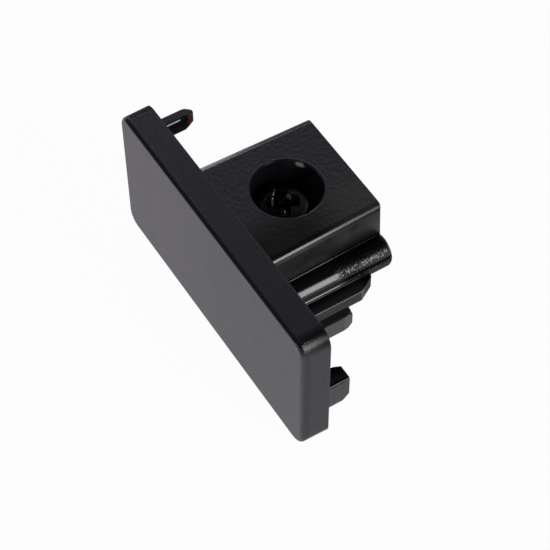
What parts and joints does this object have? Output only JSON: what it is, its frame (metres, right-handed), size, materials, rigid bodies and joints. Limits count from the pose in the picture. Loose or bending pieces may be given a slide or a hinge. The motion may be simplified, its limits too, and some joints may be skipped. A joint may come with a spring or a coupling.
{
  "type": "profile end cap",
  "caption": "Moulded cap that covers the open end of a lighting track profile, with a spigot block, side ribs, prongs and a clamp screw.",
  "frame": {"origin": "middle of the plate's lower edge, on the plate's inner face that seats on the end of the profile", "axes": "+X along the plate, +Y into the profile, +Z towards the open side of the channel, where the screw is driven"},
  "size_m": [0.035, 0.0161, 0.0175],
  "materials": {
    "cap_plastic": "fine satin moulded black plastic",
    "screw_steel": "black zinc-plated steel"
  },
  "bodies": {
    "root": {"cap_body": "cap_plastic", "clamp_screw": "screw_steel"}
  },
  "joints": []
}
